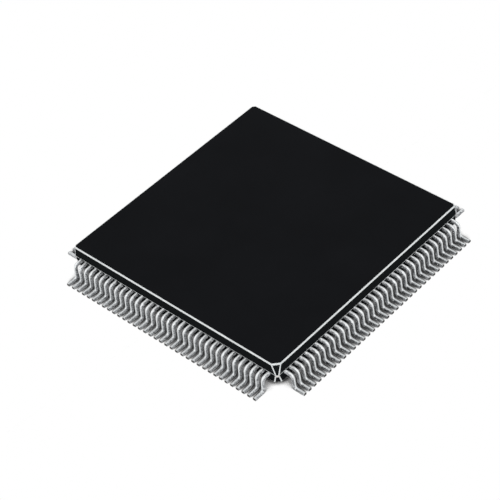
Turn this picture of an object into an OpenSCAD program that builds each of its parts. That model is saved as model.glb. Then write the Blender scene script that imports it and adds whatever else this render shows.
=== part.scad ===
// Quad flat pack: a moulded integrated circuit with gull-wing leads on four sides.
// Millimetres. The board's surface is z = 0 and the origin is under the middle of the body.
// The index corner, which has the widest chamfer, is at +X -Y.

/* [Package] */
// Number of leads along each side
leads_per_side = 36; // [24:2:44]
// Distance between the middles of neighbouring leads
lead_pitch = 0.5; // [0.4:0.01:0.65]
// From the middle of the end lead of a row to the corner of the body
row_margin = 0.75; // [0.65:0.05:1.5]
// Height of the body above the parting line
upper_height = 0.8; // [0.7:0.05:1.6]
// Height of the body below the parting line
lower_height = 0.85; // [0.6:0.05:1.2]
// Gap between the underside of the body and the board
standoff = 0.5; // [0.3:0.05:0.7]
// Draft of the moulded side walls, in degrees
wall_draft = 4; // [0:0.5:10]

/* [Corners] */
// Chamfer of the index corner along each edge of the top face
index_chamfer_top = 0.45; // [0.3:0.05:1]
// Chamfer of the index corner along each edge of the underside
index_chamfer_bottom = 0.35; // [0.2:0.05:1]
// Chamfer of the other corners along each edge of the top face and the underside
corner_chamfer = 0.2; // [0.1:0.05:0.6]
// Chamfer that is left on every corner at the parting line
parting_chamfer = 0.15; // [0.05:0.01:0.2]
// Diameter of the ejector pin marks on the underside
ejector_diameter = 1.6; // [1:0.1:2.5]
// Depth of the ejector pin marks
ejector_depth = 0.05; // [0.02:0.01:0.1]
// From the side of the body to the middle of an ejector pin mark
ejector_inset = 2.6; // [1.5:0.1:4]

/* [Leads] */
// Width of a lead
lead_width = 0.22; // [0.15:0.01:0.27]
// Thickness of the lead frame's sheet
sheet_thickness = 0.2; // [0.1:0.01:0.23]
// Length of the flat shoulder outside the body
shoulder_length = 0.35; // [0.2:0.05:0.8]
// Inside radius of the bend under the shoulder
shoulder_bend_radius = 0.2; // [0.1:0.01:0.25]
// Inside radius of the bend over the foot
foot_bend_radius = 0.14; // [0.1:0.01:0.3]
// Slope of the shank, in degrees from level
shank_slope = 86; // [70:1:88]
// Length of the flat sole under the foot
foot_length = 0.64; // [0.3:0.02:1]

/* [Lead frame] */
// From the tips of the inner leads to the paddle's edge
tip_clearance = 0.6; // [0.3:0.05:1]
// Gap between the tips of neighbouring inner leads
tip_gap = 0.1; // [0.06:0.01:0.12]
// From the end inner lead's tip to the corner where the rows of tips would meet
tip_corner = 0.9; // [0.6:0.05:1.4]
// Straight length of an inner lead behind the body's side wall
knee_depth = 0.3; // [0.2:0.05:0.4]
// Bare rim of the paddle around the chip
paddle_rim = 0.8; // [0.4:0.05:1.2]
// How far the paddle lies below the leads
paddle_downset = 0.2; // [0.1:0.01:0.3]
// Width of the four bars that tie the paddle to the corners
tie_bar_width = 0.3; // [0.2:0.05:0.4]
// Length of the sloping stretch of a tie bar
tie_bar_ramp = 0.4; // [0.2:0.05:0.8]

/* [Chip] */
// Side of the square silicon chip
chip_width = 7; // [5:0.1:9]
// Thickness of the chip
chip_thickness = 0.3; // [0.15:0.01:0.4]
// Thickness of the adhesive under the chip
adhesive_thickness = 0.03; // [0.02:0.005:0.05]

/* [Bond wires] */
// Thickness of a bond wire
wire_thickness = 0.03; // [0.02:0.005:0.04]
// Height of a wire's loop above the chip
loop_height = 0.15; // [0.1:0.01:0.3]
// From the chip's edge to the middle of a bond pad
pad_inset = 0.1; // [0.06:0.01:0.2]
// From the chip's corner to the end bond pad of a side
pad_corner = 0.5; // [0.3:0.05:1]
// From an inner lead's tip to where its wire is bonded
stitch_inset = 0.2; // [0.15:0.01:0.4]

/* [Hidden] */
// Segments of a full circle
$fn = 48;
// How far a cutting shape reaches past what it cuts
over = 1;

// Body, seen from the board up
row_length = (leads_per_side - 1) * lead_pitch;
body_half = row_length / 2 + row_margin;
parting_z = standoff + lower_height;
top_z = parting_z + upper_height;
top_half = body_half - upper_height * tan(wall_draft);
bottom_half = body_half - lower_height * tan(wall_draft);
// Length of a slab that reaches past the corners of the body
slab_length = 4 * body_half;

// Lead frame, whose upper face lies on the parting line
sheet_top_z = parting_z;
sheet_z = sheet_top_z - sheet_thickness;
paddle_half = chip_width / 2 + paddle_rim;
paddle_z = sheet_z - paddle_downset;
tip_x = paddle_half + tip_clearance;
tip_pitch = 2 * (tip_x - tip_corner) / (leads_per_side - 1);
tip_width = tip_pitch - tip_gap;
knee_x = body_half - knee_depth;

// Chip and wires
adhesive_z = paddle_z + sheet_thickness;
chip_z = adhesive_z + adhesive_thickness;
chip_top_z = chip_z + chip_thickness;
pad_pitch = (chip_width - 2 * pad_corner) / (leads_per_side - 1);

// Straight part of the shank, as long as brings the sole of the foot down to the board
bend_drop = shoulder_bend_radius + sheet_thickness + foot_bend_radius;
shank_drop = sheet_z - bend_drop * (1 - cos(shank_slope));
shank_length = shank_drop / sin(shank_slope);

MOLD_BLACK = "#191b1c";
TIN = "#c3c7c8";
NICKEL_IRON = "#a8a59f";
SILICON = "#5d6470";
ADHESIVE = "#9a9ca0";
GOLD = "#d8b24a";

// Place of item i of a row of equal steps, measured from the middle of the row
function along(i, step) = (i - (leads_per_side - 1) / 2) * step;

// Sideways place of inner lead i at a distance x from the middle of the part
function finger_y(i, x) =
    let (share = (x - tip_x) / (knee_x - tip_x))
    along(i, tip_pitch) * (1 - share) + along(i, lead_pitch) * share;

// Distance along a diagonal to a corner's chamfer
function corner_reach(half, chamfer) = (2 * half - chamfer) / sqrt(2);

// Slab with a six-sided section: its reach forwards and back at the underside, parting line and top
module drafted_slab(angle, forward, back) {
    levels = [standoff, parting_z, top_z];
    front_edge = [for (k = [0:2]) [forward[k], levels[k]]];
    back_edge = [for (k = [2:-1:0]) [-back[k], levels[k]]];
    rotate([0, 0, angle])
        rotate([90, 0, 0])
            linear_extrude(slab_length, center = true)
                polygon(concat(front_edge, back_edge));
}

// Outside of the moulded body, walls and corners drafted both ways from the parting line
module body_envelope() {
    sides = [bottom_half, body_half, top_half];
    index_legs = [index_chamfer_bottom, parting_chamfer, index_chamfer_top];
    corner_legs = [corner_chamfer, parting_chamfer, corner_chamfer];
    index_reach = [for (k = [0:2]) corner_reach(sides[k], index_legs[k])];
    other_reach = [for (k = [0:2]) corner_reach(sides[k], corner_legs[k])];
    intersection() {
        drafted_slab(0, sides, sides);
        drafted_slab(90, sides, sides);
        drafted_slab(-45, index_reach, other_reach);
        drafted_slab(45, other_reach, other_reach);
    }
}

// Round marks that the mould's ejector pins leave
module ejector_marks() {
    mark = body_half - ejector_inset;
    for (x = [-mark, mark], y = [-mark, mark])
        translate([x, y, standoff - over])
            cylinder(d = ejector_diameter, h = over + ejector_depth);
}

// Part of a lead that the body holds, from its tip to the side wall, on the +X side
module inner_lead(i) {
    y = along(i, lead_pitch);
    y_tip = along(i, tip_pitch);
    half = lead_width / 2;
    translate([0, 0, sheet_z])
        linear_extrude(sheet_thickness)
            polygon([
                [tip_x, y_tip - tip_width / 2],
                [knee_x, y - half],
                [body_half, y - half],
                [body_half, y + half],
                [knee_x, y + half],
                [tip_x, y_tip + tip_width / 2]
            ]);
}

// Straight stretch of the lead frame's strip, seen from its side and running along +X
module strip(length) {
    square([length, sheet_thickness]);
}

// Ring segment through which the strip turns, about its centre; a negative turn is downwards
module turned_strip(radius, turn) {
    far = 2 * (radius + sheet_thickness);
    intersection() {
        difference() {
            circle(radius + sheet_thickness);
            circle(radius);
        }
        translate([0, -far])
            square([far, 2 * far]);
        rotate(turn)
            translate([-far, -far])
                square([far, 2 * far]);
    }
}

// Bends the strip downwards, and goes on with what follows
module bend_down(radius) {
    translate([0, -radius]) {
        turned_strip(radius, -shank_slope);
        rotate(-shank_slope)
            translate([0, radius])
                children();
    }
}

// Bends the strip back up to level, and goes on with what follows
module bend_up(radius) {
    translate([0, sheet_thickness + radius]) {
        turned_strip(radius, shank_slope);
        rotate(shank_slope)
            translate([0, -sheet_thickness - radius])
                children();
    }
}

// Side view of a lead from its knee outwards: shoulder, bend, shank, bend and foot
module gull_wing_profile() {
    shoulder = knee_depth + shoulder_length;
    translate([-knee_depth, sheet_z]) {
        strip(shoulder);
        translate([shoulder, 0])
            bend_down(shoulder_bend_radius) {
                strip(shank_length);
                translate([shank_length, 0])
                    bend_up(foot_bend_radius)
                        strip(foot_length);
            }
    }
}

// One whole lead on the +X side
module lead(i) {
    inner_lead(i);
    translate([body_half, along(i, lead_pitch), 0])
        rotate([90, 0, 0])
            linear_extrude(lead_width, center = true)
                gull_wing_profile();
}

module lead_row(angle) {
    color(TIN)
        rotate([0, 0, angle])
            for (i = [0:leads_per_side - 1])
                lead(i);
}

// One wire: up from its bond pad, over the chip's edge and down to its inner lead, on the +X side
module bond_wire(i) {
    pad = [chip_width / 2 - pad_inset, along(i, pad_pitch)];
    stitch_x = tip_x + stitch_inset;
    run = [stitch_x, finger_y(i, stitch_x)] - pad;
    half = wire_thickness / 2;
    crest_z = chip_top_z + loop_height;
    translate([pad.x, pad.y, 0])
        rotate([90, 0, atan2(run.y, run.x)])
            linear_extrude(wire_thickness, center = true)
                polygon([
                    [-half, chip_top_z],
                    [half, chip_top_z],
                    [half, crest_z - wire_thickness],
                    [norm(run) - wire_thickness, sheet_top_z],
                    [norm(run) + wire_thickness, sheet_top_z],
                    [-half, crest_z]
                ]);
}

module wire_row(angle) {
    color(GOLD)
        rotate([0, 0, angle])
            for (i = [0:leads_per_side - 1])
                bond_wire(i);
}

// Square plate about the middle, from a height upwards
module plate(half, z, height) {
    translate([-half, -half, z])
        cube([2 * half, 2 * half, height]);
}

// Bar from the paddle's corner up to the leads' level and out to the body's corner, along +X
module tie_bar() {
    inner = paddle_half;
    ramp_start = sqrt(2) * paddle_half;
    ramp_end = ramp_start + tie_bar_ramp;
    outer = sqrt(2) * body_half + over;
    path = [[inner, paddle_z], [ramp_start, paddle_z], [ramp_end, sheet_z], [outer, sheet_z]];
    rise = [0, sheet_thickness];
    rotate([90, 0, 0])
        linear_extrude(tie_bar_width, center = true)
            polygon(concat(path, [for (k = [3:-1:0]) path[k] + rise]));
}

module chip() {
    color(SILICON)
        plate(chip_width / 2, chip_z, chip_thickness);
}

module chip_adhesive() {
    color(ADHESIVE)
        plate(chip_width / 2, adhesive_z, adhesive_thickness);
}

// Paddle and tie bars, stamped from one sheet and trimmed flush with the corners
module chip_paddle() {
    color(NICKEL_IRON) {
        plate(paddle_half, paddle_z, sheet_thickness);
        intersection() {
            for (angle = [45:90:315])
                rotate([0, 0, angle])
                    tie_bar();
            body_envelope();
        }
    }
}

// Compound that fills the mould around everything that it encloses
module mold_body() {
    color(MOLD_BLACK)
        difference() {
            body_envelope();
            ejector_marks();
            chip();
            chip_adhesive();
            chip_paddle();
            for (angle = [0:90:270], i = [0:leads_per_side - 1])
                rotate([0, 0, angle]) {
                    inner_lead(i);
                    bond_wire(i);
                }
        }
}

module leads_south() { lead_row(-90); }
module leads_east() { lead_row(0); }
module leads_north() { lead_row(90); }
module leads_west() { lead_row(180); }

module bond_wires_south() { wire_row(-90); }
module bond_wires_east() { wire_row(0); }
module bond_wires_north() { wire_row(90); }
module bond_wires_west() { wire_row(180); }

mold_body();
chip();
chip_adhesive();
chip_paddle();
leads_south();
leads_east();
leads_north();
leads_west();
bond_wires_south();
bond_wires_east();
bond_wires_north();
bond_wires_west();
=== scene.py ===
"""Looks of a moulded quad flat pack with gull-wing leads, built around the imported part.

The sizes below are millimetres, as in the part's source. Each piece is shaped in millimetres, and its
mesh becomes metres at the end.
"""
import math

import bmesh
import bpy
from mathutils import Matrix, Vector


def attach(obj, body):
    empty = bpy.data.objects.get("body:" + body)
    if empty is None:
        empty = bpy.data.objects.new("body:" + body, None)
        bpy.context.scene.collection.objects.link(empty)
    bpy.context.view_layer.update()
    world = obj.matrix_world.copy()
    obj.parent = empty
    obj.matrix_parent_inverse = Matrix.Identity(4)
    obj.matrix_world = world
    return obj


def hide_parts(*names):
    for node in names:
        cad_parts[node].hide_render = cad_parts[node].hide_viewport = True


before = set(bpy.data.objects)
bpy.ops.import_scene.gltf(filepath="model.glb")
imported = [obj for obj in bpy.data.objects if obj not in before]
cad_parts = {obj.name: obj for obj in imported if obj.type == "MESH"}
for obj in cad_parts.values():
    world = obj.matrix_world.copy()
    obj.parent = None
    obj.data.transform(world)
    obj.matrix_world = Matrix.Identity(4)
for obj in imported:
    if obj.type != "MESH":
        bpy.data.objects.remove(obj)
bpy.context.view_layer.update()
scene = bpy.context.scene
scene.view_settings.view_transform = "Standard"

MM = 0.001
# Nearness at which points count as one
TOUCH = 1e-5

# Moulded body: its levels, the reach of its walls at the parting line and the legs of its corner chamfers
UNDERSIDE_Z = 0.5
PARTING_Z = 1.35
TOP_Z = 2.15
PARTING_HALF = 9.5
WALL_DRAFT = math.radians(4)
INDEX_CHAMFER = {UNDERSIDE_Z: 0.35, PARTING_Z: 0.15, TOP_Z: 0.45}
CORNER_CHAMFER = {UNDERSIDE_Z: 0.2, PARTING_Z: 0.15, TOP_Z: 0.2}
# Width of the block that it is cut from, its corners and walls taken together, and where the index corner
# lies, in degrees from +X
BLANK_WIDTH = 3 * PARTING_HALF
CORNERS_AND_WALLS = 8
INDEX_BEARING = -45
# The walls lie this far behind the trimmed ends of the tie bars, which would else be lost in them
WALL_RELIEF = 0.002
# Bevel round the top face on the two sides of the index corner, which carries the painted highlight, and the
# other edges as shares of it
RIM_BEVEL = 0.08
RIM_SEGMENTS = 3
BACK_SHARE = 0.6
INDEX_SHARE = 0.6
CORNER_SHARE = 0.2
PARTING_SHARE = 0.25
UNDERSIDE_SHARE = 0.5
MARK_SHARE = 0.12
# Faces that meet at a flatter angle than this have no edge between them
FLAT_ANGLE = math.radians(2)
# Ejector pin marks on the underside, and the border round the face that holds them
MARK_RADIUS = 0.8
MARK_DEPTH = 0.05
MARK_PLACE = 6.9
MARK_SEGMENTS = 40
UNDERSIDE_BORDER = 0.25
# Edges of the underside within this reach belong to the marks, and so do upright edges that are this low
MARKS_REACH = MARK_PLACE + 1.1 * MARK_RADIUS
MARKS_HEIGHT = 2 * MARK_DEPTH

# Leads: the strip and its folds outside the body
LEADS_PER_SIDE = 36
LEAD_PITCH = 0.5
LEAD_WIDTH = 0.22
SHEET_THICKNESS = 0.2
SHOULDER_LENGTH = 0.35
SHOULDER_BEND_RADIUS = 0.2
FOOT_BEND_RADIUS = 0.14
SHANK_SLOPE = math.radians(86)
FOOT_LENGTH = 0.64
# Inside the body the leads fan in from their knees to their tips by the chip. The row of tips stops short
# of its corners, and its tips have a gap between them.
KNEE_X = 9.2
TIP_X = 4.9
TIP_CORNER = 0.9
TIP_GAP = 0.1
# Rounding that the punch leaves on the upper edges of a lead, and steps of a bend
DIE_ROLL = 0.05
BEND_STEPS = 4
# Faces that meet at a flatter angle than this are shaded as one
SMOOTH_ANGLE = math.radians(50)
# Turn of each side's row from the +X side, in degrees
ROW_TURNS = {"south": -90, "east": 0, "north": 90, "west": 180}

# Order of the finishes on the body and on the leads
BODY_FACES, BODY_HIGHLIGHT_EDGES, BODY_MARKS, BODY_WALLS = range(4)
LEAD_FACES, LEAD_TOES, LEAD_SIDES = range(3)
# Share of a face's normal along an axis: hardly any, half and most of it
HARDLY, HALF, MOSTLY = 0.1, 0.5, 0.9
# The upper faces of a lead point more than this outwards and upwards
UPPER = 0.3

# Camera, as measured in the photograph: angles in degrees, distances in millimetres
CAMERA_AZIMUTH = 47.424
CAMERA_ELEVATION = 43.526
CAMERA_ROLL = -7.869
CAMERA_DISTANCE = 121.016
CAMERA_ASIDE = -1.188
CAMERA_ABOVE = -0.138
CAMERA_LENS = 124.22
CAMERA_SENSOR = 36
CAMERA_NEAREST = 1

# Light: towards each lamp, its strength and the width of its disc in degrees
LAMPS = {
    "front_lamp": ((0.53, -0.49, 0.69), 1.5, 20),
    "left_lamp": ((-0.53, -0.69, 0.49), 0.25, 12),
    "right_lamp": ((0.69, 0.49, 0.53), 0.25, 12),
    "top_lamp": ((0, 0, 1), 0.3, 30),
}
SKY_STRENGTH = 0.5

# Floor, a hair below the feet
FLOOR_DROP = 0.01
FLOOR_RADIUS = 2000
FLOOR_SEGMENTS = 64
# Shade on the floor: how near something has to be, the open share of the light at which the shade is
# deepest and at which it ends, its deepest tone and the rays that look for it
SHADE_REACH = 1.2
SHADE_DEEPEST = 0.64
SHADE_END = 0.8
SHADE_TONE = 0.03
SHADE_RAYS = 32

# Sockets of a Mix node that blends two colours: its share of the second, the two and the blend
SHARE, FIRST, SECOND, BLEND = 0, 6, 7, 2
# Waves that a wave texture at a scale of 1 has in one unit of length
WAVE_TURNS = 20 / (2 * math.pi)


def linear(colour):
    """sRGB hex colour as linear RGBA."""
    parts = [int(colour[k:k + 2], 16) / 255 for k in (1, 3, 5)]
    return [c / 12.92 if c <= 0.04045 else ((c + 0.055) / 1.055) ** 2.4 for c in parts] + [1.0]


def per_metre(size):
    """Pattern scale that gives features of a size in millimetres."""
    return 1 / (size * MM)


def add(tree, kind, sockets=None, **settings):
    """Adds a node with its settings; a socket takes a value or another node's output."""
    node = tree.nodes.new(kind)
    for name, value in settings.items():
        setattr(node, name, value)
    for name, value in (sockets or {}).items():
        if isinstance(value, bpy.types.NodeSocket):
            tree.links.new(value, node.inputs[name])
        else:
            node.inputs[name].default_value = value
    return node


def new_material(name):
    """Empty node material and its tree."""
    material = bpy.data.materials.new(name)
    material.use_nodes = True
    material.node_tree.nodes.clear()
    return material, material.node_tree


def seen_ray(tree):
    """1 where the camera sees something straight, mirrored or through something, else 0."""
    rays = add(tree, "ShaderNodeLightPath")
    straight = add(tree, "ShaderNodeMath", {
        0: rays.outputs["Is Camera Ray"], 1: rays.outputs["Is Glossy Ray"]}, operation="MAXIMUM")
    return add(tree, "ShaderNodeMath", {
        0: straight.outputs[0], 1: rays.outputs["Is Transmission Ray"]}, operation="MAXIMUM").outputs[0]


def mould_compound():
    # Silica-filled epoxy, transfer moulded against a spark-eroded tool: dead black, dull and evenly
    # grained, with faint clouds of some 3.5 mm. The real grit is about 0.02 mm; it is drawn at 0.08 mm
    # so that it shows.
    material, tree = new_material("black_epoxy_mould_compound")
    place = add(tree, "ShaderNodeTexCoord").outputs["Object"]
    grit = add(tree, "ShaderNodeTexNoise", {"Vector": place, "Scale": per_metre(0.08), "Detail": 3.0})
    cloud = add(tree, "ShaderNodeTexNoise", {"Vector": place, "Scale": per_metre(3.5), "Detail": 2.0})
    tone = add(tree, "ShaderNodeMath", {
        0: grit.outputs["Fac"], 1: cloud.outputs["Fac"]}, operation="MULTIPLY")
    colour = add(tree, "ShaderNodeMix", {
        SHARE: tone.outputs[0], FIRST: linear("#0b0c0e"), SECOND: linear("#17181b")}, data_type="RGBA")
    rough = add(tree, "ShaderNodeMapRange", {
        "Value": grit.outputs["Fac"], "To Min": 0.55, "To Max": 0.75})
    bump = add(tree, "ShaderNodeBump", {
        "Height": grit.outputs["Fac"], "Strength": 0.35, "Distance": 0.01 * MM})
    shader = add(tree, "ShaderNodeBsdfPrincipled", {
        "Base Color": colour.outputs[BLEND], "Roughness": rough.outputs[0], "Specular IOR Level": 0.03,
        "Normal": bump.outputs[0]})
    add(tree, "ShaderNodeOutputMaterial", {"Surface": shader.outputs[0]})
    return material


def mould_wall():
    # The same compound on the drafted walls, dragged along the tool as the body is pushed out: a deader
    # black without sheen, drawn out upwards. The real drag lines are about 0.02 mm; they are drawn at
    # 0.08 mm so that they show.
    material, tree = new_material("drawn_mould_wall")
    place = add(tree, "ShaderNodeTexCoord").outputs["Object"]
    upright = add(tree, "ShaderNodeMapping", {"Vector": place, "Scale": (1, 1, 0.2)})
    drag = add(tree, "ShaderNodeTexNoise", {
        "Vector": upright.outputs[0], "Scale": per_metre(0.08), "Detail": 3.0})
    colour = add(tree, "ShaderNodeMix", {
        SHARE: drag.outputs["Fac"], FIRST: linear("#0d0f10"), SECOND: linear("#191b1c")}, data_type="RGBA")
    bump = add(tree, "ShaderNodeBump", {
        "Height": drag.outputs["Fac"], "Strength": 0.3, "Distance": 0.01 * MM})
    shader = add(tree, "ShaderNodeBsdfPrincipled", {
        "Base Color": colour.outputs[BLEND], "Roughness": 0.8, "Specular IOR Level": 0.01,
        "Normal": bump.outputs[0]})
    add(tree, "ShaderNodeOutputMaterial", {"Surface": shader.outputs[0]})
    return material


def painted_highlight_edge():
    # The same compound on the bevelled edges, painted pale as a highlight: a crisp light line round the
    # body, slightly uneven along its length, in stretches of some 0.6 mm.
    material, tree = new_material("compound_edge_painted_highlight")
    place = add(tree, "ShaderNodeTexCoord").outputs["Object"]
    highlight_unevenness = add(tree, "ShaderNodeTexNoise", {"Vector": place, "Scale": per_metre(0.6), "Detail": 3.0})
    # Painted highlight: the pale colour stands in for light caught on the bevelled edges
    colour = add(tree, "ShaderNodeMix", {
        SHARE: highlight_unevenness.outputs["Fac"], FIRST: linear("#bcc0c1"), SECOND: linear("#e6e9e9")}, data_type="RGBA")
    rough = add(tree, "ShaderNodeMapRange", {
        "Value": highlight_unevenness.outputs["Fac"], "To Min": 0.45, "To Max": 0.3})
    shader = add(tree, "ShaderNodeBsdfPrincipled", {
        "Base Color": colour.outputs[BLEND], "Roughness": rough.outputs[0], "Specular IOR Level": 0.4})
    add(tree, "ShaderNodeOutputMaterial", {"Surface": shader.outputs[0]})
    return material


def pin_mark():
    # Compound moulded against the turned end of an ejector pin: smoother than the rest, with fine rings
    # about each mark's middle. The real rings are about 0.05 mm apart; they are drawn 0.2 mm apart so
    # that they show.
    material, tree = new_material("ejector_pin_mark")
    place = add(tree, "ShaderNodeTexCoord").outputs["Object"]
    quarter = add(tree, "ShaderNodeVectorMath", {0: place}, operation="ABSOLUTE")
    middle = add(tree, "ShaderNodeMapping", {
        "Vector": quarter.outputs[0], "Location": (-MARK_PLACE * MM, -MARK_PLACE * MM, 0)})
    rings = add(tree, "ShaderNodeTexWave", {
        "Vector": middle.outputs[0], "Scale": per_metre(0.2 * WAVE_TURNS), "Distortion": 0.3},
        wave_type="RINGS", rings_direction="Z")
    colour = add(tree, "ShaderNodeMix", {
        SHARE: rings.outputs["Fac"], FIRST: linear("#0f1112"), SECOND: linear("#1e2021")}, data_type="RGBA")
    rough = add(tree, "ShaderNodeMapRange", {
        "Value": rings.outputs["Fac"], "To Min": 0.38, "To Max": 0.5})
    shader = add(tree, "ShaderNodeBsdfPrincipled", {
        "Base Color": colour.outputs[BLEND], "Roughness": rough.outputs[0], "Specular IOR Level": 0.3})
    add(tree, "ShaderNodeOutputMaterial", {"Surface": shader.outputs[0]})
    return material


def tin_plate():
    # Matte tin, electroplated over strip: silvery and softly bright, with a fine crystal grain and faint
    # clouds of some 0.4 mm, and a darker grey on the feet, which is painted shade. The real grain is about
    # 0.005 mm; it is drawn at 0.05 mm so that it shows.
    material, tree = new_material("matte_tin_plate")
    place = add(tree, "ShaderNodeTexCoord").outputs["Object"]
    grain = add(tree, "ShaderNodeTexNoise", {"Vector": place, "Scale": per_metre(0.05), "Detail": 2.0})
    cloud = add(tree, "ShaderNodeTexNoise", {"Vector": place, "Scale": per_metre(0.4), "Detail": 2.0})
    tone = add(tree, "ShaderNodeMath", {
        0: grain.outputs["Fac"], 1: cloud.outputs["Fac"]}, operation="MULTIPLY")
    bright = add(tree, "ShaderNodeMix", {
        SHARE: tone.outputs[0], FIRST: linear("#dcdfe0"), SECOND: linear("#f0f1f1")}, data_type="RGBA")
    # Painted shade: the feet and lowest bends are a darker grey, fading out between 0.18 and 0.5 mm up
    height = add(tree, "ShaderNodeSeparateXYZ", {"Vector": place}).outputs["Z"]
    above_foot_shade = add(tree, "ShaderNodeMapRange", {
        "Value": height, "From Min": 0.18 * MM, "From Max": 0.5 * MM})
    colour = add(tree, "ShaderNodeMix", {
        SHARE: above_foot_shade.outputs[0], FIRST: linear("#d0d3d4"), SECOND: bright.outputs[BLEND]}, data_type="RGBA")
    rough = add(tree, "ShaderNodeMapRange", {
        "Value": cloud.outputs["Fac"], "To Min": 0.48, "To Max": 0.62})
    bump = add(tree, "ShaderNodeBump", {
        "Height": grain.outputs["Fac"], "Strength": 0.2, "Distance": 0.004 * MM})
    shader = add(tree, "ShaderNodeBsdfPrincipled", {
        "Base Color": colour.outputs[BLEND], "Metallic": 0.4, "Roughness": rough.outputs[0],
        "Normal": bump.outputs[0]})
    add(tree, "ShaderNodeOutputMaterial", {"Surface": shader.outputs[0]})
    return material


def side_plate_painted_shade():
    # The sides of a lead and its rolled edges, sheared by the punch and tinned afterwards: rougher than its
    # faces and mottled, and painted a darker grey as shade. The real mottling is about 0.02 mm; it is drawn
    # at 0.1 mm so that it shows.
    material, tree = new_material("tinned_side_painted_shade")
    place = add(tree, "ShaderNodeTexCoord").outputs["Object"]
    tear = add(tree, "ShaderNodeTexNoise", {"Vector": place, "Scale": per_metre(0.1), "Detail": 3.0})
    mottle = add(tree, "ShaderNodeMapRange", {
        "Value": tear.outputs["Fac"], "From Min": 0.35, "From Max": 0.65})
    # Painted shade: the sides and rolled edges are a darker grey than the lead's faces
    colour = add(tree, "ShaderNodeMix", {
        SHARE: mottle.outputs[0], FIRST: linear("#686b6d"), SECOND: linear("#caccce")}, data_type="RGBA")
    bump = add(tree, "ShaderNodeBump", {
        "Height": tear.outputs["Fac"], "Strength": 0.4, "Distance": 0.006 * MM})
    shader = add(tree, "ShaderNodeBsdfPrincipled", {
        "Base Color": colour.outputs[BLEND], "Metallic": 0.5, "Roughness": 0.55,
        "Normal": bump.outputs[0]})
    add(tree, "ShaderNodeOutputMaterial", {"Surface": shader.outputs[0]})
    return material


def sheared_metal():
    # Strip that the trim tool cuts through after plating: bare, dull and dark grey, scored upwards by the
    # blade. The real scores are about 0.02 mm; they are drawn at 0.04 mm so that they show.
    material, tree = new_material("sheared_nickel_iron")
    place = add(tree, "ShaderNodeTexCoord").outputs["Object"]
    upright = add(tree, "ShaderNodeMapping", {"Vector": place, "Scale": (1, 1, 0.12)})
    score = add(tree, "ShaderNodeTexNoise", {
        "Vector": upright.outputs[0], "Scale": per_metre(0.04), "Detail": 2.0})
    colour = add(tree, "ShaderNodeMix", {
        SHARE: score.outputs["Fac"], FIRST: linear("#262524"), SECOND: linear("#45433f")}, data_type="RGBA")
    rough = add(tree, "ShaderNodeMapRange", {
        "Value": score.outputs["Fac"], "To Min": 0.45, "To Max": 0.65})
    bump = add(tree, "ShaderNodeBump", {
        "Height": score.outputs["Fac"], "Strength": 0.4, "Distance": 0.006 * MM})
    shader = add(tree, "ShaderNodeBsdfPrincipled", {
        "Base Color": colour.outputs[BLEND], "Metallic": 0.8, "Roughness": rough.outputs[0],
        "Normal": bump.outputs[0]})
    add(tree, "ShaderNodeOutputMaterial", {"Surface": shader.outputs[0]})
    return material


def lead_frame_strip():
    # Rolled nickel-iron strip: pale warm grey with the streaks of rolling along one direction. The real
    # streaks are about 0.02 mm wide; they are drawn at 0.06 mm so that they show.
    material, tree = new_material("rolled_nickel_iron")
    place = add(tree, "ShaderNodeTexCoord").outputs["Object"]
    rolled = add(tree, "ShaderNodeMapping", {"Vector": place, "Scale": (0.05, 1, 1)})
    streak = add(tree, "ShaderNodeTexNoise", {
        "Vector": rolled.outputs[0], "Scale": per_metre(0.06), "Detail": 3.0})
    colour = add(tree, "ShaderNodeMix", {
        SHARE: streak.outputs["Fac"], FIRST: linear("#c9c8c4"), SECOND: linear("#e2e1de")}, data_type="RGBA")
    rough = add(tree, "ShaderNodeMapRange", {
        "Value": streak.outputs["Fac"], "To Min": 0.3, "To Max": 0.45})
    shader = add(tree, "ShaderNodeBsdfPrincipled", {
        "Base Color": colour.outputs[BLEND], "Metallic": 0.8, "Roughness": rough.outputs[0]})
    add(tree, "ShaderNodeOutputMaterial", {"Surface": shader.outputs[0]})
    return material


def silicon():
    # Polished silicon with its metal layers: dark blue grey, in rows of circuit blocks that are half as
    # long as the pattern's unit of 0.5 mm, with paler tracks between them.
    material, tree = new_material("patterned_silicon")
    place = add(tree, "ShaderNodeTexCoord").outputs["Object"]
    blocks = add(tree, "ShaderNodeTexBrick", {
        "Vector": place, "Scale": per_metre(0.5), "Color1": linear("#525a68"), "Color2": linear("#6a7080"),
        "Mortar": linear("#8b8577"), "Mortar Size": 0.03})
    shader = add(tree, "ShaderNodeBsdfPrincipled", {
        "Base Color": blocks.outputs["Color"], "Metallic": 0.3, "Roughness": 0.15})
    add(tree, "ShaderNodeOutputMaterial", {"Surface": shader.outputs[0]})
    return material


def silver_adhesive():
    # Epoxy filled with silver flakes: dull grey with a fine glitter. The real flakes are about 0.01 mm;
    # they are drawn at 0.03 mm so that they show.
    material, tree = new_material("silver_filled_epoxy")
    place = add(tree, "ShaderNodeTexCoord").outputs["Object"]
    flakes = add(tree, "ShaderNodeTexVoronoi", {"Vector": place, "Scale": per_metre(0.03)})
    colour = add(tree, "ShaderNodeMix", {
        SHARE: flakes.outputs["Distance"], FIRST: linear("#b3b5b8"), SECOND: linear("#85878b")},
        data_type="RGBA")
    shader = add(tree, "ShaderNodeBsdfPrincipled", {
        "Base Color": colour.outputs[BLEND], "Metallic": 0.5, "Roughness": 0.55})
    add(tree, "ShaderNodeOutputMaterial", {"Surface": shader.outputs[0]})
    return material


def drawn_gold():
    # Drawn gold wire: bright, warm and nearly even, with faint lighter patches of some 0.1 mm.
    material, tree = new_material("drawn_gold_wire")
    place = add(tree, "ShaderNodeTexCoord").outputs["Object"]
    patch = add(tree, "ShaderNodeTexNoise", {"Vector": place, "Scale": per_metre(0.1)})
    colour = add(tree, "ShaderNodeMix", {
        SHARE: patch.outputs["Fac"], FIRST: linear("#d1a63c"), SECOND: linear("#e6c566")}, data_type="RGBA")
    shader = add(tree, "ShaderNodeBsdfPrincipled", {
        "Base Color": colour.outputs[BLEND], "Metallic": 1.0, "Roughness": 0.25})
    add(tree, "ShaderNodeOutputMaterial", {"Surface": shader.outputs[0]})
    return material


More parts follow.
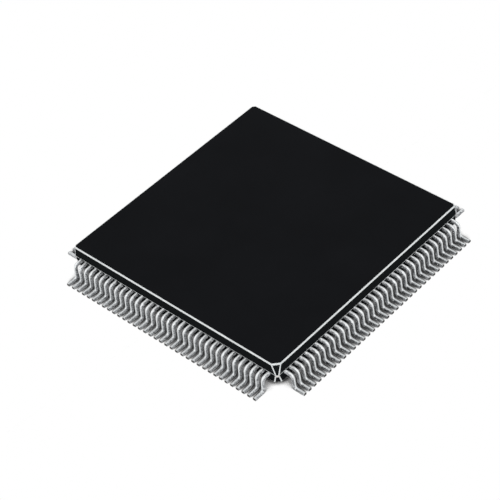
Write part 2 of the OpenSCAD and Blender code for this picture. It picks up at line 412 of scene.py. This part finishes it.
def white_floor():
    # Matte white paper in an even white surround: no gloss, and shaded only where the part stands close
    # over it and keeps the front lamp's broad light away.
    material, tree = new_material("white_paper")
    to_lamp = add(tree, "ShaderNodeCombineXYZ", dict(zip("XYZ", LAMPS["front_lamp"][0])))
    open_sky = add(tree, "ShaderNodeAmbientOcclusion", {
        "Distance": SHADE_REACH * MM, "Normal": to_lamp.outputs[0]}, samples=SHADE_RAYS)
    shade = add(tree, "ShaderNodeMapRange", {
        "Value": open_sky.outputs["AO"], "From Min": SHADE_DEEPEST, "From Max": SHADE_END,
        "To Min": SHADE_TONE, "To Max": 1.0})
    glow = add(tree, "ShaderNodeEmission", {"Color": linear("#ffffff"), "Strength": shade.outputs[0]})
    paper = add(tree, "ShaderNodeBsdfDiffuse", {"Color": linear("#fcfcfc")})
    surface = add(tree, "ShaderNodeMixShader", {
        0: seen_ray(tree), 1: paper.outputs[0], 2: glow.outputs[0]})
    add(tree, "ShaderNodeOutputMaterial", {"Surface": surface.outputs[0]})
    return material


def of_kind(geometry, kind):
    """The vertices, edges or faces among an operator's results."""
    return [g for g in geometry if isinstance(g, kind)]


def piece(name, bm, materials, replaced):
    """Makes a shape a piece of the part that stands for a CAD node."""
    bmesh.ops.recalc_face_normals(bm, faces=bm.faces)
    bmesh.ops.scale(bm, vec=(MM, MM, MM), verts=bm.verts)
    mesh = bpy.data.meshes.new(name)
    bm.to_mesh(mesh)
    bm.free()
    for material in materials:
        mesh.materials.append(material)
    obj = bpy.data.objects.new(name, mesh)
    scene.collection.objects.link(obj)
    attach(obj, "root")
    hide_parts(replaced)
    return obj


def wall_half(level):
    """Reach of the side walls at a level."""
    return PARTING_HALF - WALL_RELIEF - abs(level - PARTING_Z) * math.tan(WALL_DRAFT)


def corner_reach(level, chamfers):
    """Reach of a corner's chamfer along its diagonal at a level."""
    return (2 * wall_half(level) - chamfers[level]) / math.sqrt(2)


def trim(bm, point, normal):
    """Cuts away what lies beyond a plane and closes the cut."""
    cut = bmesh.ops.bisect_plane(
        bm, geom=[*bm.verts, *bm.edges, *bm.faces], dist=TOUCH,
        plane_co=point, plane_no=normal, clear_outer=True)
    bmesh.ops.holes_fill(bm, edges=of_kind(cut["geom_cut"], bmesh.types.BMEdge), sides=0)


def moulded_block():
    """Block with its walls and corners drafted both ways from the parting line."""
    bm = bmesh.new()
    bmesh.ops.create_cube(bm, size=1)
    bmesh.ops.scale(bm, vec=(BLANK_WIDTH, BLANK_WIDTH, TOP_Z - UNDERSIDE_Z), verts=bm.verts)
    bmesh.ops.translate(bm, vec=(0, 0, (TOP_Z + UNDERSIDE_Z) / 2), verts=bm.verts)
    for step in range(CORNERS_AND_WALLS):
        angle = math.radians(INDEX_BEARING + step * 360 / CORNERS_AND_WALLS)
        outward = Vector((math.cos(angle), math.sin(angle), 0))
        chamfers = INDEX_CHAMFER if step == 0 else CORNER_CHAMFER
        is_wall = step % 2 == 1
        for level in (UNDERSIDE_Z, TOP_Z):
            if is_wall:
                middle, end = wall_half(PARTING_Z), wall_half(level)
            else:
                middle, end = corner_reach(PARTING_Z, chamfers), corner_reach(level, chamfers)
            rise = level - PARTING_Z
            slope = (middle - end) * math.copysign(1, rise)
            normal = outward * abs(rise) + Vector((0, 0, slope))
            trim(bm, outward * middle + Vector((0, 0, PARTING_Z)), normal)
    return bm


def press_pin_marks(bm):
    """Presses the four round ejector pin marks into the underside."""
    underside = min(bm.faces, key=lambda f: f.calc_center_median().z)
    bmesh.ops.inset_region(bm, faces=[underside], thickness=UNDERSIDE_BORDER, use_even_offset=True)
    border = list(underside.edges)
    bmesh.ops.delete(bm, geom=[underside], context="FACES_ONLY")
    rings = []
    for x in (-MARK_PLACE, MARK_PLACE):
        for y in (-MARK_PLACE, MARK_PLACE):
            ring = bmesh.ops.create_circle(
                bm, cap_ends=False, radius=MARK_RADIUS, segments=MARK_SEGMENTS,
                matrix=Matrix.Translation((x, y, UNDERSIDE_Z)))
            rings.append(list(dict.fromkeys(e for v in ring["verts"] for e in v.link_edges)))
    bmesh.ops.triangle_fill(
        bm, use_beauty=True, use_dissolve=False, normal=(0, 0, -1),
        edges=border + [e for ring in rings for e in ring])
    for ring in rings:
        wall = bmesh.ops.extrude_edge_only(bm, edges=ring)["geom"]
        bmesh.ops.translate(bm, vec=(0, 0, MARK_DEPTH), verts=of_kind(wall, bmesh.types.BMVert))
        inner = [
            e for e in of_kind(wall, bmesh.types.BMEdge)
            if all(v.co.z > UNDERSIDE_Z + TOUCH for v in e.verts)]
        for face in bmesh.ops.contextual_create(bm, geom=inner)["faces"]:
            face.material_index = BODY_MARKS


def edge_share(edge):
    """Share of the rim's bevel that an edge of the body gets."""
    low, high = sorted(v.co.z for v in edge.verts)
    if edge.calc_face_angle(0) < FLAT_ANGLE:
        return 0
    if low > TOP_Z - TOUCH:
        by_index = max(v.co.x - v.co.y for v in edge.verts) > PARTING_HALF
        return 1 if by_index else BACK_SHARE
    if high < UNDERSIDE_Z + TOUCH:
        on_mark = all(max(abs(v.co.x), abs(v.co.y)) < MARKS_REACH for v in edge.verts)
        return MARK_SHARE if on_mark else UNDERSIDE_SHARE
    if high - low < TOUCH:
        return PARTING_SHARE if abs(low - PARTING_Z) < TOUCH else 0
    if high - low < MARKS_HEIGHT:
        return 0
    return INDEX_SHARE if edge.verts[0].co.x > 0 > edge.verts[0].co.y else CORNER_SHARE


def moulded_body(materials):
    """Black body with a painted highlight on its bevelled edges, and pin marks."""
    bm = moulded_block()
    press_pin_marks(bm)
    bmesh.ops.recalc_face_normals(bm, faces=bm.faces)
    shares = bm.edges.layers.float.new("bevel_weight_edge")
    for edge in bm.edges:
        edge[shares] = edge_share(edge)
    for face in bm.faces:
        face.smooth = True
        if abs(face.normal.z) < HALF:
            face.material_index = BODY_WALLS
    body = piece("moulded_body", bm, materials, "mold_body")
    bevel = body.modifiers.new("highlight_edge_bevel", "BEVEL")
    bevel.limit_method = "WEIGHT"
    bevel.width = RIM_BEVEL * MM
    bevel.segments = RIM_SEGMENTS
    bevel.profile = 0.5
    # The bevels take the pale finish, a painted highlight
    bevel.material = BODY_HIGHLIGHT_EDGES
    bevel.use_clamp_overlap = False
    bevel.harden_normals = True


def grow(bm, end, shift):
    """Lengthens a strip by moving its end face, and returns the new end face."""
    made = bmesh.ops.extrude_face_region(bm, geom=[end])["geom"]
    bmesh.ops.translate(bm, vec=shift, verts=of_kind(made, bmesh.types.BMVert))
    return of_kind(made, bmesh.types.BMFace)[0]


def fold(bm, end, centre, turn):
    """Bends a strip about a centre, and returns the new end face; a positive turn is downwards."""
    made = bmesh.ops.spin(
        bm, geom=[*end.verts, *end.edges, end], cent=centre, axis=(0, 1, 0), angle=turn,
        steps=BEND_STEPS, use_merge=False, use_duplicate=False)
    return of_kind(made["geom_last"], bmesh.types.BMFace)[0]


def along(i, pitch):
    """Place of item i of a row of leads, from the row's middle."""
    return (i - (LEADS_PER_SIDE - 1) / 2) * pitch


def gull_wing():
    """One lead on the +X side from its knee to its toe, in the middle of the row."""
    sheet_z = PARTING_Z - SHEET_THICKNESS
    bend_drop = SHOULDER_BEND_RADIUS + SHEET_THICKNESS + FOOT_BEND_RADIUS
    shank_length = (sheet_z - bend_drop * (1 - math.cos(SHANK_SLOPE))) / math.sin(SHANK_SLOPE)
    down_shank = Vector((math.cos(SHANK_SLOPE), 0, -math.sin(SHANK_SLOPE)))
    off_shank = Vector((math.sin(SHANK_SLOPE), 0, math.cos(SHANK_SLOPE)))
    shoulder_end = PARTING_HALF + SHOULDER_LENGTH
    shoulder_centre = Vector((shoulder_end, 0, sheet_z - SHOULDER_BEND_RADIUS))
    foot_centre = shoulder_centre + off_shank * bend_drop + down_shank * shank_length

    bm = bmesh.new()
    knee = Matrix.Translation((KNEE_X, 0, sheet_z + SHEET_THICKNESS / 2))
    upright = Matrix.Rotation(math.radians(90), 4, "Y")
    section = Matrix.Diagonal((SHEET_THICKNESS, LEAD_WIDTH, 1, 1))
    bmesh.ops.create_grid(
        bm, x_segments=1, y_segments=1, size=0.5, matrix=knee @ upright @ section)
    end = grow(bm, bm.faces[:][0], (shoulder_end - KNEE_X, 0, 0))
    end = fold(bm, end, shoulder_centre, SHANK_SLOPE)
    end = grow(bm, end, down_shank * shank_length)
    end = fold(bm, end, foot_centre, -SHANK_SLOPE)
    toe = grow(bm, end, (FOOT_LENGTH, 0, 0))
    toe.material_index = LEAD_TOES
    bmesh.ops.recalc_face_normals(bm, faces=bm.faces)
    return bm


def is_upper(face):
    """Whether a face of a lead on the +X side is one that the punch met first."""
    outwards_up = face.normal.x + face.normal.z
    return abs(face.normal.y) < HARDLY and outwards_up > UPPER and face.material_index == LEAD_FACES


def roll_upper_edges(bm):
    """Rounds the upper edges of a lead, where the punch entered."""
    edges = []
    for edge in bm.edges:
        upper = any(is_upper(f) for f in edge.link_faces)
        beside = any(abs(f.normal.y) > MOSTLY for f in edge.link_faces)
        if upper and beside:
            edges.append(edge)
    bmesh.ops.bevel(
        bm, geom=edges, offset=DIE_ROLL, offset_type="OFFSET", segments=1, profile=0.5,
        affect="EDGES", clamp_overlap=False, material=-1)


def lead_row():
    """The row of leads on the +X side, fanned in to their tips."""
    bm = gull_wing()
    roll_upper_edges(bm)
    for face in bm.faces:
        if abs(face.normal.y) > HALF:
            face.material_index = LEAD_SIDES
    one = [*bm.verts, *bm.edges, *bm.faces]
    for i in range(1, LEADS_PER_SIDE):
        copy = bmesh.ops.duplicate(bm, geom=one)["geom"]
        shift = (0, along(i, LEAD_PITCH), 0)
        bmesh.ops.translate(bm, vec=shift, verts=of_kind(copy, bmesh.types.BMVert))
    shift = (0, along(0, LEAD_PITCH), 0)
    bmesh.ops.translate(bm, vec=shift, verts=of_kind(one, bmesh.types.BMVert))

    tip_pitch = 2 * (TIP_X - TIP_CORNER) / (LEADS_PER_SIDE - 1)
    knees = [f for f in bm.faces if all(abs(v.co.x - KNEE_X) < TOUCH for v in f.verts)]
    knees.sort(key=lambda f: f.calc_center_median().y)
    for i, knee in enumerate(knees):
        tip = grow(bm, knee, (TIP_X - KNEE_X, along(i, tip_pitch) - along(i, LEAD_PITCH), 0))
        bmesh.ops.scale(
            bm, vec=(1, (tip_pitch - TIP_GAP) / LEAD_WIDTH, 1), verts=tip.verts,
            space=Matrix.Translation((0, -along(i, tip_pitch), 0)))

    for edge in bm.edges:
        edge.smooth = edge.calc_face_angle(0) < SMOOTH_ANGLE
    for face in bm.faces:
        face.smooth = True
    return bm


def tinned_leads(side, row, materials):
    """One side's row of leads."""
    bm = row.copy()
    turn = Matrix.Rotation(math.radians(ROW_TURNS[side]), 3, "Z")
    bmesh.ops.rotate(bm, cent=(0, 0, 0), matrix=turn, verts=bm.verts)
    leads = piece("tinned_leads_" + side, bm, materials, "leads_" + side)
    flat = leads.modifiers.new("flat_faces", "WEIGHTED_NORMAL")
    flat.keep_sharp = True


def paint_inside():
    """Finishes of the CAD nodes that stay: the chip, its paddle and its wires."""
    gold = drawn_gold()
    finishes = {"chip": silicon(), "chip_adhesive": silver_adhesive(), "chip_paddle": lead_frame_strip()}
    finishes.update({"bond_wires_" + side: gold for side in ROW_TURNS})
    for name, material in finishes.items():
        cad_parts[name].material_slots[0].material = material


def photo_camera():
    """Camera at the photograph's viewing angle."""
    azimuth, elevation, roll = map(math.radians, (CAMERA_AZIMUTH, CAMERA_ELEVATION, CAMERA_ROLL))
    back = Vector((
        math.sin(azimuth) * math.cos(elevation),
        -math.cos(azimuth) * math.cos(elevation),
        math.sin(elevation)))
    level = Vector((math.cos(azimuth), math.sin(azimuth), 0))
    upright = back.cross(level)
    right = math.cos(roll) * level + math.sin(roll) * upright
    up = math.cos(roll) * upright - math.sin(roll) * level
    data = bpy.data.cameras.new("photo_camera")
    data.sensor_width = CAMERA_SENSOR
    data.lens = CAMERA_LENS
    data.clip_start = CAMERA_NEAREST * MM
    camera = bpy.data.objects.new("photo_camera", data)
    place = (right * CAMERA_ASIDE + up * CAMERA_ABOVE + back * CAMERA_DISTANCE) * MM
    turn = Matrix((right, up, back)).transposed().to_4x4()
    camera.matrix_world = Matrix.Translation(place) @ turn
    scene.collection.objects.link(camera)
    scene.camera = camera


def lamp(name, towards, strength, width):
    """Distant lamp, so that its light is even over the whole part."""
    data = bpy.data.lights.new(name, "SUN")
    data.energy = strength
    data.angle = math.radians(width)
    obj = bpy.data.objects.new(name, data)
    obj.rotation_euler = Vector(towards).to_track_quat("Z", "Y").to_euler()
    scene.collection.objects.link(obj)


def studio():
    """White floor and sky, and the lamps."""
    bm = bmesh.new()
    bmesh.ops.create_circle(
        bm, cap_ends=True, radius=FLOOR_RADIUS * MM, segments=FLOOR_SEGMENTS,
        matrix=Matrix.Translation((0, 0, -FLOOR_DROP * MM)))
    mesh = bpy.data.meshes.new("floor")
    bm.to_mesh(mesh)
    bm.free()
    mesh.materials.append(white_floor())
    floor = bpy.data.objects.new("floor", mesh)
    scene.collection.objects.link(floor)

    for name, (towards, strength, width) in LAMPS.items():
        lamp(name, towards, strength, width)

    world = bpy.data.worlds.new("white_sky")
    scene.world = world
    world.use_nodes = True
    tree = world.node_tree
    tree.nodes.clear()
    glow = add(tree, "ShaderNodeMapRange", {
        "Value": seen_ray(tree), "To Min": SKY_STRENGTH, "To Max": 1.0})
    sky = add(tree, "ShaderNodeBackground", {"Color": linear("#ffffff"), "Strength": glow.outputs[0]})
    add(tree, "ShaderNodeOutputWorld", {"Surface": sky.outputs[0]})


moulded_body([mould_compound(), painted_highlight_edge(), pin_mark(), mould_wall()])
row = lead_row()
lead_finishes = [tin_plate(), sheared_metal(), side_plate_painted_shade()]
for side in ROW_TURNS:
    tinned_leads(side, row, lead_finishes)
row.free()
paint_inside()
photo_camera()
studio()

bpy.context.view_layer.update()
